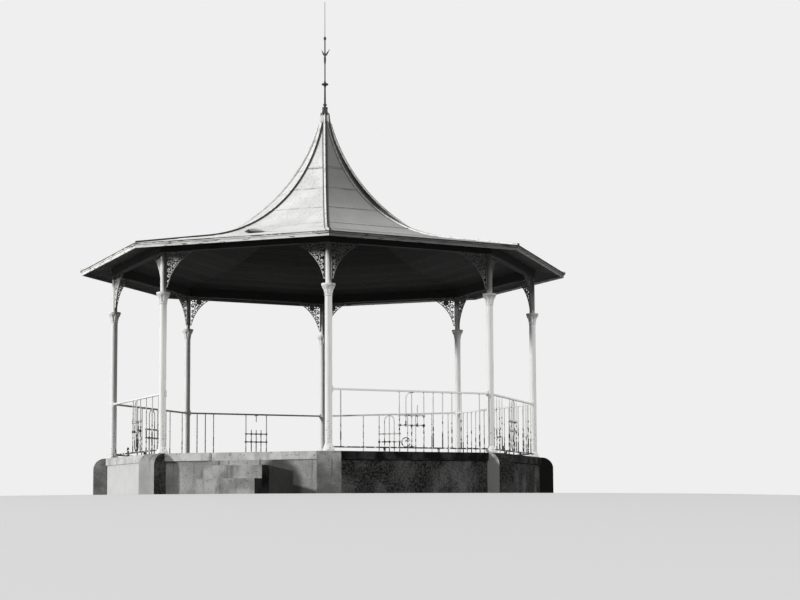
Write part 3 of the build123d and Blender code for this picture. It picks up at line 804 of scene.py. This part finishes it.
# %% Hang the ragged drip
DRIP_STEP = 0.03
DRIP_LEAST, DRIP_MOST, DRIP_FIRST = 0.003, 0.017, 0.015
DRIP_LEAN = 0.006
DRIP_CHANGES = 0.35
DRIP_THICKNESS = 0.0015
DRIP_INSET = 0.003
DRIP_BEHIND = 0.001
DRIP_SHORT = 0.004

rust_and_shade_edge = Finish("rusted sheet edge with painted shade", "#2a2928", 0.8, 0.2)
rust_and_shade_edge.coat("#4c4a48", rust_and_shade_edge.patches(25, 0.4, 0.6, detail=6.0))
chance = random.Random(7)
drip_mesh = bmesh.new()
drip_top = roof_top(sheet_eave - DRIP_INSET).z - DRIP_INSET
front = DRIP_BEHIND - sheet_eave
half = (sheet_eave - DRIP_SHORT) * TAN_HALF_BAY - DRIP_SHORT
count = int(2 * half / DRIP_STEP)
for number in range(SIDES):
    turn = bay_turn(number)
    depth, lean = DRIP_FIRST, 0.0
    rows = []
    for step in range(count + 1):
        along = -half + 2 * half * step / count
        if chance.random() < DRIP_CHANGES:
            depth = chance.uniform(DRIP_LEAST, DRIP_MOST)
            lean = chance.uniform(0.0, DRIP_LEAN)
        sides = ((0, 0), (lean, depth), (lean + DRIP_THICKNESS, depth), (DRIP_THICKNESS, 0))
        places = [turn @ Vector((along, front + back, drip_top - drop)) for back, drop in sides]
        rows.append([drip_mesh.verts.new(place) for place in places])
    add_skin(drip_mesh, rows)
make_piece("ragged_drip", drip_mesh, rust_and_shade_edge)

# %% [markdown]
# ## A lifted sheet
# On the steps bay the wind has lifted the edge of a sheet near the eave, and a dark hollow
# shows under it. The roof could be cut and bent there, but CAD solids are never reshaped here.
# So the flap is a thin bent plate on the sheet, which rises in a low arch at its foot.

# %% Bend the lifted sheet
FLAP_ALONG = -0.21
FLAP_WIDTH = 0.31
FLAP_LENGTH = 0.20
FLAP_LIFT = 0.075
FLAP_OUT = 2.53
FLAP_CLEAR = 0.003
FLAP_THICKNESS = 0.0015
FLAP_ROWS, FLAP_CELLS = 7, 8

flap_mesh = bmesh.new()
slope, normal = roof_axes(FLAP_OUT)
rows = []
for step in range(FLAP_ROWS):
    share = step / (FLAP_ROWS - 1)
    row = []
    for side in range(FLAP_CELLS + 1):
        across = side / FLAP_CELLS
        curl = FLAP_LIFT * (1 - share) ** 2 * (0.35 + 0.65 * math.sin(math.pi * across) ** 0.7)
        place = roof_top(FLAP_OUT) + slope * FLAP_LENGTH * share + normal * (FLAP_CLEAR + curl)
        place.x = FLAP_ALONG + FLAP_WIDTH * (across - 0.5)
        row.append([flap_mesh.verts.new(place + normal * lift) for lift in (0, FLAP_THICKNESS)])
    rows.append(row)
add_bent_plate(flap_mesh, rows)
make_piece("lifted_sheet", flap_mesh, roof, smooth=True)

# %% [markdown]
# ## Rosettes on the railings
# Where the crossbars of a railing's panel pass its upright bars, a small cast rosette covers
# the rivet on each face. It has a domed eye and eight petals, so its edge is scalloped. It
# could be cut from a disc, but rings of points whose radius follows a cosine give the dome and
# the scallops at once.

# %% Cast the rosettes
PANEL_PLACES = (-0.208, -0.098, 0.0, 0.098, 0.208)
CROSSBAR_HEIGHTS = (0.407, 0.559)
ROSETTE_RADIUS = 0.023
ROSETTE_DEPTH = 0.011
BAR_HALF = 0.007
PETALS = 8
FLOWER_RINGS = ((0.2, 0.92), (0.32, 0.5), (0.6, 0.75), (0.85, 0.6), (1.0, 0.0))
FLOWER_SEGMENTS = 24


def add_flower(mesh, centre, across, outward):
    """A domed flower with scalloped petals, its back flat against a face."""
    rows = []
    for share, rise in FLOWER_RINGS:
        def reach(angle):
            return ROSETTE_RADIUS * share * (1 - 0.2 * share * (1 - abs(math.cos(angle * PETALS / 2))))
        middle_place = centre + outward * ROSETTE_DEPTH * rise
        rows.append(add_ring(mesh, middle_place, across, UP, FLOWER_SEGMENTS, reach))
    add_skin(mesh, rows, ends=(-1,))
    eye = mesh.verts.new(centre + outward * ROSETTE_DEPTH)
    for first, second in zip(rows[0], rows[0][1:] + rows[0][:1]):
        mesh.faces.new((eye, first, second))


rosette_mesh = bmesh.new()
for number in range(1, SIDES):
    along, outward = bay_axes(number)
    for place in PANEL_PLACES:
        for height in CROSSBAR_HEIGHTS:
            centre = along * place + outward * column_apothem + UP * (floor_top + height)
            for side in (1, -1):
                add_flower(rosette_mesh, centre + outward * side * BAR_HALF, along * side, outward * side)
make_piece("railing_rosettes", rosette_mesh, rail_paint, smooth=True)

# %% [markdown]
# ## Bolts and rail clamps
# Four bolts hold each column's foot, and a cast clamp plate with two bolts ties each end of a
# handrail to its column. One clamp is still on the column left of the steps, where no rail is.
# A boolean could join them to the iron, but small meshes that only touch it look the same.

# %% Fasten the columns and rails
BOLT_RADIUS = 0.011
BOLT_HEIGHT = 0.012
BOLT_RINGS = ((0, 1), (0.7, 1), (0.7, 0.6), (1.0, 0.45))
FOOT_BOLTS = 4
FOOT_BOLT_RING = 0.078
FOOT_PLATE = 0.022
CLAMP_HEIGHT = 0.092
CLAMP_WIDTH = 0.060
CLAMP_DEPTH = 0.010
CLAMP_CHAMFER = 0.8
CLAMP_SUNK = 0.003
CLAMP_BOLTS_AT = 0.32
CLAMP_BOLT_SHARE = 0.8
HANDRAIL_MIDDLE = 0.929
SHAFT_RADIUS = 0.055


def add_bolt(mesh, centre, axis, radius):
    """A hexagon nut with a rounded bolt end through it."""
    side = axis.orthogonal().normalized()
    rows = []
    for rise, share in BOLT_RINGS:
        place = centre + axis * BOLT_HEIGHT * rise
        rows.append(add_ring(mesh, place, side, axis.cross(side), 6, lambda angle: radius * share))
    add_skin(mesh, rows)


bolt_mesh = bmesh.new()
clamp_mesh = bmesh.new()
for number in range(SIDES):
    foot = column_places[number] + UP * (floor_top + FOOT_PLATE)
    for bolt in range(FOOT_BOLTS):
        turn = BAY * number + math.tau * (bolt + 0.5) / FOOT_BOLTS
        add_bolt(bolt_mesh, foot + direction(turn, 0) * FOOT_BOLT_RING, UP, BOLT_RADIUS)
    for bay, side in ((number, 1), (number - 1, -1)):
        if bay == 0 and number != 0:
            continue
        along, outward = bay_axes(bay, side)
        seat = column_places[number] + UP * (floor_top + HANDRAIL_MIDDLE)
        seat += along * (SHAFT_RADIUS - CLAMP_SUNK)
        ends = seat - UP * CLAMP_HEIGHT / 2, seat + UP * CLAMP_HEIGHT / 2
        add_strip(clamp_mesh, *ends, outward, along, CLAMP_WIDTH, CLAMP_DEPTH, CLAMP_CHAMFER)
        for rise in (-1, 1):
            place = seat + UP * rise * CLAMP_HEIGHT * CLAMP_BOLTS_AT + along * CLAMP_DEPTH
            add_bolt(bolt_mesh, place, along, BOLT_RADIUS * CLAMP_BOLT_SHARE)
make_piece("bolts", bolt_mesh, white_paint)
make_piece("rail_clamps", clamp_mesh, white_paint)

# %% [markdown]
# ## Brackets of cast foliage
# The CAD brackets are pierced plates. The castings are finer: a daisy fills the wide corner,
# and leafy scrolls run from it to both tips inside a plain rim. Curves with a thickness could
# draw them, but bars, leaves and petals have to run into one another. So the pattern is worked
# out as a height on a grid, where the greater height wins and what lies above nought is iron.

# %% Draw the foliage
bracket_low, bracket_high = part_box("brackets_1")
REACH = bracket_high.x - column_places[0].x
DROP = plate_bottom - bracket_low.z
TIP = 0.030
HOLLOW = 0.078
HOLLOW_STEPS = 24
SHAFT_HEAD = 0.046
RIM = 0.011
CELL = 0.006
EDGE_HALF = 0.0045
SWELL_HALF = 0.0115
DAISY = Vector((0.222, -0.098))
DAISY_RADIUS = 0.082
DAISY_PETALS = 8
PETAL_HALF = 0.0130
# Each scroll has a centre, a radius and a hand, from the corner at the column out to the tips.
SCROLLS = (
    (0.098, -0.064, 0.040, 1), (0.108, -0.176, 0.046, -1), (0.196, -0.222, 0.034, 1),
    (0.112, -0.284, 0.042, 1), (0.100, -0.376, 0.034, -1), (0.090, -0.454, 0.024, 1),
    (0.338, -0.058, 0.034, -1), (0.406, -0.036, 0.020, 1),
)
SCROLL_TURNS = 1.2
SCROLL_BAR = 0.0065
SCROLL_START = 0.25
BUD = 0.24
LEAVES = 7
LEAF_LENGTH = 0.62
LEAF_HALF = 0.2
LEAST_HEIGHT = 1e-5


def hollow_edge():
    """Points along the bracket's hollow edge, from the outer tip to the lower one."""
    start, end = Vector((REACH, -TIP)), Vector((SHAFT_HEAD + TIP, -DROP))
    chord = end - start
    inwards = Vector((chord.y, -chord.x)).normalized()
    radius = ((chord.length / 2) ** 2 + HOLLOW ** 2) / (2 * HOLLOW)
    centre = (start + end) / 2 - inwards * (radius - HOLLOW)
    first, last = start - centre, end - centre
    sweep = math.atan2(last.y, last.x) - math.atan2(first.y, first.x)
    sweep = (sweep + math.pi) % math.tau - math.pi
    turns = (Matrix.Rotation(sweep * step / HOLLOW_STEPS, 2) for step in range(HOLLOW_STEPS + 1))
    return [centre + turn @ first for turn in turns]


OUTLINE = [Vector((SHAFT_HEAD, -DROP)), Vector((SHAFT_HEAD, 0)), Vector((REACH, 0))] + hollow_edge()


def inside_outline(place):
    """How far a place lies inside the bracket's outline, and below nought outside it."""
    nearest, inside = 1.0, False
    for first, second in zip(OUTLINE, OUTLINE[1:] + OUTLINE[:1]):
        edge = second - first
        share = min(max((place - first).dot(edge) / edge.length_squared, 0), 1)
        nearest = min(nearest, (place - first - edge * share).length)
        if (first.y > place.y) != (second.y > place.y):
            if place.x < first.x + (place.y - first.y) * edge.x / edge.y:
                inside = not inside
    return nearest if inside else -nearest


def beside_ray(angle, reach, rays):
    """How far a place lies aside of the nearest of some rays, spread evenly round a middle."""
    return abs(math.sin(rays * angle / 2)) * reach * 2 / rays


def scroll_height(place, scroll):
    """How far a place lies inside a spiral bar, its bud or the leaves that grow out of it."""
    x, y, radius, hand = scroll
    offset = place - Vector((x, y))
    reach = offset.length
    angle = math.atan2(offset.y, offset.x) * hand
    best = radius * BUD - reach
    bar = 0.0
    for turn in range(math.ceil(SCROLL_TURNS) + 1):
        along = (angle % math.tau) / math.tau + turn
        if along <= SCROLL_TURNS:
            bar = radius * (SCROLL_START + (1 - SCROLL_START) * along / SCROLL_TURNS)
            best = max(best, SCROLL_BAR - abs(reach - bar))
    beyond = (reach - bar) / (radius * LEAF_LENGTH)
    if 0 < beyond < 1:
        half = LEAF_HALF * radius * math.sin(math.pi * (0.25 + 0.75 * beyond))
        best = max(best, half - beside_ray(angle, reach, LEAVES))
    return best


def daisy_height(place):
    """How far a place lies inside the daisy's eye, its petals or the ring round them."""
    offset = place - DAISY
    reach = offset.length
    share = min(reach / DAISY_RADIUS, 1)
    aside = beside_ray(math.atan2(offset.y, offset.x), reach, DAISY_PETALS)
    petal = min(PETAL_HALF * math.sin(math.pi * share ** 1.3) - aside, DAISY_RADIUS - reach)
    return max(petal, SCROLL_BAR - abs(reach - DAISY_RADIUS), DAISY_RADIUS * BUD - reach)


def grid_place(key):
    """Where a grid place lies, out from the column's axis and down from the plate."""
    return Vector((SHAFT_HEAD + key[0] * CELL, -key[1] * CELL))


cells_across = math.ceil((REACH - SHAFT_HEAD) / CELL) + 2
cells_down = math.ceil(DROP / CELL) + 2
heights = {}
for key in ((across, down) for across in range(-1, cells_across + 1) for down in range(-1, cells_down + 1)):
    place = grid_place(key)
    inside = inside_outline(place)
    patterns = [RIM - inside, daisy_height(place)] + [scroll_height(place, scroll) for scroll in SCROLLS]
    height = min(inside, max(patterns))
    heights[key] = height if abs(height) > LEAST_HEIGHT else -LEAST_HEIGHT
print("iron on", sum(height > 0 for height in heights.values()), "of", len(heights), "grid places")

# %% [markdown]
# Square cells alone would leave steps along every opening, so each cell of the grid is cut
# where the height crosses nought. Its corners and crossings are walked in order, which gives
# one polygon for its front, the same for its back, and a side wall along each cut. The iron
# swells towards its middle. The casting is found once and set on both sides of every column.

# %% Cast the brackets
def cut_cells():
    """The casting as points, each with a half thickness, front polygons and edges of openings."""
    points, index, polygons, cuts = [], {}, [], []

    def point(key, place, half):
        if key not in index:
            index[key] = len(points)
            points.append((place, half))
        return index[key]

    for across in range(-1, cells_across):
        for down in range(-1, cells_down):
            ring = [(across, down), (across, down + 1), (across + 1, down + 1), (across + 1, down)]
            polygon, crossings = [], []
            for first, second in zip(ring, ring[1:] + ring[:1]):
                here, there = heights[first], heights[second]
                if here > 0:
                    rise = math.sin(min(here / SCROLL_BAR, 1) * math.pi / 2)
                    half = EDGE_HALF + (SWELL_HALF - EDGE_HALF) * rise
                    polygon.append(point(first, grid_place(first), half))
                if (here > 0) != (there > 0):
                    crossing = grid_place(first).lerp(grid_place(second), here / (here - there))
                    polygon.append(point(tuple(sorted((first, second))), crossing, EDGE_HALF))
                    crossings.append((polygon[-1], here > 0))
            if len(polygon) > 2:
                polygons.append(polygon)
            for number, (made, leaving) in enumerate(crossings):
                if leaving:
                    cuts.append((made, crossings[(number + 1) % len(crossings)][0]))
    return points, polygons, cuts


points, polygons, cuts = cut_cells()


def cast_bracket(mesh, column, bay, side):
    """Add one casting on a side of a column, in the plane of a bay."""
    along, outward = bay_axes(bay, side)
    origin = column_places[column] + UP * plate_bottom
    placed = [(origin + along * place.x + UP * place.y, outward * half) for place, half in points]
    front = [mesh.verts.new(place + lift) for place, lift in placed]
    back = [mesh.verts.new(place - lift) for place, lift in placed]
    for polygon in polygons:
        mesh.faces.new([front[corner] for corner in polygon]).smooth = True
        mesh.faces.new([back[corner] for corner in reversed(polygon)]).smooth = True
    for first, second in cuts:
        mesh.faces.new((front[first], front[second], back[second], back[first]))


for number in range(SIDES):
    casting = bmesh.new()
    cast_bracket(casting, number, number, 1)
    cast_bracket(casting, number, number - 1, -1)
    name = f"bracket_foliage_{number + 1}"
    make_piece(name, casting, white_paint, None, replaced=f"brackets_{number + 1}")

# %% [markdown]
# ## Leaves on the collars
# Where the upper shaft stands on the lower one, each column swells into a bell, and the
# casting has a row of leaves on it. Each leaf clings to the bell, swells along its rib and
# curls out at its tip. They could be pushed out of the bell by a bump, but a bump has no
# outline of its own, so each is a thin bent plate. A ray shot at the CAD column finds the
# bell's radius at every height.

# %% Grow the collar leaves
COLLAR_LEAVES = 8
LEAF_ROWS, LEAF_HALF_COLUMNS = 9, 3
LEAF_FOOT, LEAF_TIP = 2.988, 3.092
LEAF_SPREAD = 0.36
LEAF_SWELL = 0.007
LEAF_CURL = 0.008
LEAF_ROOT = 0.006
RAY_START = 0.3
WELD = 0.0001

column_tree = solid_tree("column_1")


def bell_radius(height):
    """The column's radius at a height."""
    start = column_places[0] + EAST * RAY_START + UP * height
    return column_tree.ray_cast(start, -EAST)[0].x - column_places[0].x


def leaf_point(up, aside, front):
    """A point of a leaf about its column's axis: how far up it, how far aside, and front or back."""
    height = LEAF_FOOT + (LEAF_TIP - LEAF_FOOT) * up
    half = LEAF_SPREAD * (0.35 + 0.65 * math.sin(math.pi * min(up * 0.75 + 0.12, 1.0))) * (1 - up ** 6)
    raised = LEAF_SWELL * (1 - aside * aside) + LEAF_CURL * up ** 4 if front else -LEAF_ROOT
    return Matrix.Rotation(half * aside, 3, "Z") @ Vector((bell_radius(height) + raised, 0, height))


leaf_grid = [
    [[leaf_point(row / (LEAF_ROWS - 1), column / LEAF_HALF_COLUMNS, front) for front in (True, False)]
     for column in range(-LEAF_HALF_COLUMNS, LEAF_HALF_COLUMNS + 1)]
    for row in range(LEAF_ROWS)
]
leaf_mesh = bmesh.new()
for axis in column_places:
    for number in range(COLLAR_LEAVES):
        turn = Matrix.Translation(axis) @ Matrix.Rotation(math.tau * number / COLLAR_LEAVES, 4, "Z")
        rows = [[[leaf_mesh.verts.new(turn @ place) for place in pair] for pair in row] for row in leaf_grid]
        add_bent_plate(leaf_mesh, rows)
bmesh.ops.remove_doubles(leaf_mesh, verts=leaf_mesh.verts, dist=WELD)
make_piece("collar_leaves", leaf_mesh, white_paint, None)

# %% [markdown]
# ## The finial
# The real finial was turned and forged, and measures on the photograph give each of its knops.
# It could be stacked from cylinders and balls, but those leave hard seams, so here it is one
# lathe profile: a dark flared drum, a knop, a stout lower shaft, a disc, a lighter shaft with
# a spindle, a knob and a thin lightning conductor. Two short blades make a vane on its upper
# shaft.

# %% Turn the finial
TURNED_SEGMENTS = 24
# Heights and radii.
TURNED_PROFILE = (
    (6.610, 0.074), (6.640, 0.080), (6.652, 0.076), (6.662, 0.054), (6.700, 0.046), (6.736, 0.047),
    (6.750, 0.052), (6.758, 0.040), (6.770, 0.020), (6.782, 0.018), (6.790, 0.030), (6.802, 0.036),
    (6.814, 0.030), (6.822, 0.018), (7.090, 0.015), (7.125, 0.017), (7.148, 0.028), (7.156, 0.056),
    (7.168, 0.061), (7.178, 0.054), (7.186, 0.024), (7.220, 0.013), (7.240, 0.011), (7.530, 0.011),
    (7.548, 0.016), (7.600, 0.020), (7.655, 0.018), (7.672, 0.012), (7.950, 0.011), (7.962, 0.018),
    (7.976, 0.024), (7.990, 0.025), (8.004, 0.020), (8.016, 0.010), (8.030, 0.005), (cad_high.z, 0.004),
)
VANE_FOOT = 7.660
VANE_TIPS = ((-0.066, 0.132), (0.092, 0.128))
VANE_WIDEST = 0.05
VANE_WIDTH = 0.032
VANE_HALF = 0.005


def turn_mesh(profile, segments, outline=lambda radius, angle: radius):
    """A lathe form from heights and radii, where the outline gives a radius at each angle."""
    mesh = bmesh.new()
    rows = [add_ring(mesh, UP * height, EAST, NORTH, segments, lambda angle: outline(radius, angle))
            for height, radius in profile]
    add_skin(mesh, rows, smooth=True)
    return mesh


finial_mesh = turn_mesh(TURNED_PROFILE, TURNED_SEGMENTS)
make_piece("turned_finial", finial_mesh, black_iron, None, "finial_rod")
vane_mesh = bmesh.new()
foot = UP * VANE_FOOT
for across, rise in VANE_TIPS:
    tip = Vector((across, 0, VANE_FOOT + rise))
    ray = (tip - foot).normalized()
    aside = Vector((-ray.z, 0, ray.x)) * VANE_WIDTH / 2
    widest = foot + ray * VANE_WIDEST
    outline = [foot, widest + aside, tip, widest - aside]
    sides = [Vector((0, side * VANE_HALF, 0)) for side in (-1, 1)]
    add_skin(vane_mesh, [[vane_mesh.verts.new(place + side) for place in outline] for side in sides])
make_piece("finial_vane", vane_mesh, black_iron)

# %% [markdown]
# ## The crown cap
# The roof's sheets close round the finial's foot as an eight-sided cap, and the hip rolls run
# up its corners. It could be built of flat plates and rolls, but the finial's lathe makes it
# as one closed skin, with an outline that bulges at each corner.

# %% Close the crown
# Heights, and how much wider the cap is than the CAD drum.
CAP_PROFILE = ((6.455, 0.019), (6.523, 0.006), (6.636, -0.006))
CAP_SEGMENTS = 96
ROLL_OUT = 0.013
ROLL_SPREAD = 0.16

drum_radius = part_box("finial_drum")[1].x


def octagon(radius, angle):
    """An eight-sided outline with a roll on each corner."""
    fold = (angle + BAY / 2) % BAY - BAY / 2
    corner = BAY / 2 - abs(fold)
    return radius / math.cos(fold) + ROLL_OUT * math.exp(-((corner / ROLL_SPREAD) ** 2))


profile = [(height, drum_radius + wider) for height, wider in CAP_PROFILE]
make_piece("crown_cap", turn_mesh(profile, CAP_SEGMENTS, octagon), roof, None, "finial_drum")
